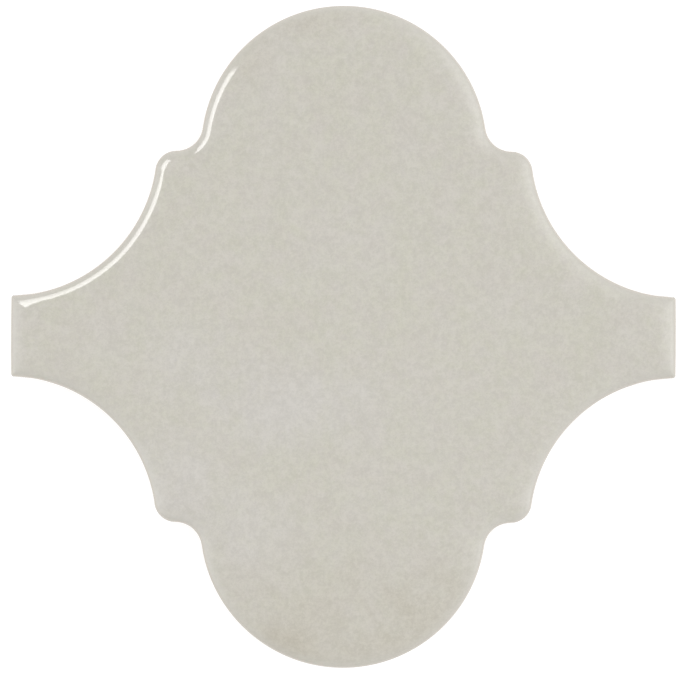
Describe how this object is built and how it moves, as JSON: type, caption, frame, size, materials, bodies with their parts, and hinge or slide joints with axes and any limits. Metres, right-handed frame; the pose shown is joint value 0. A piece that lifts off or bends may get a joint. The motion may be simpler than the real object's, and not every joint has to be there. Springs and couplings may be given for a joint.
{
  "type": "ceramic wall tile",
  "caption": "Glazed ceramic wall tile with a lantern outline: domes above and below, hollow arcs between them and short flat side ends, so that neighbours nest at an even joint.",
  "frame": {"origin": "centre of the tile, on the plane of its back", "axes": "+Z out of the glazed face, +Y towards the dome that is up in the picture, +X towards a flat end"},
  "size_m": [0.12, 0.1196, 0.0085],
  "materials": {
    "glazed_ceramic": "gloss"
  },
  "bodies": {
    "root": {"tile": "glazed_ceramic"}
  },
  "joints": []
}
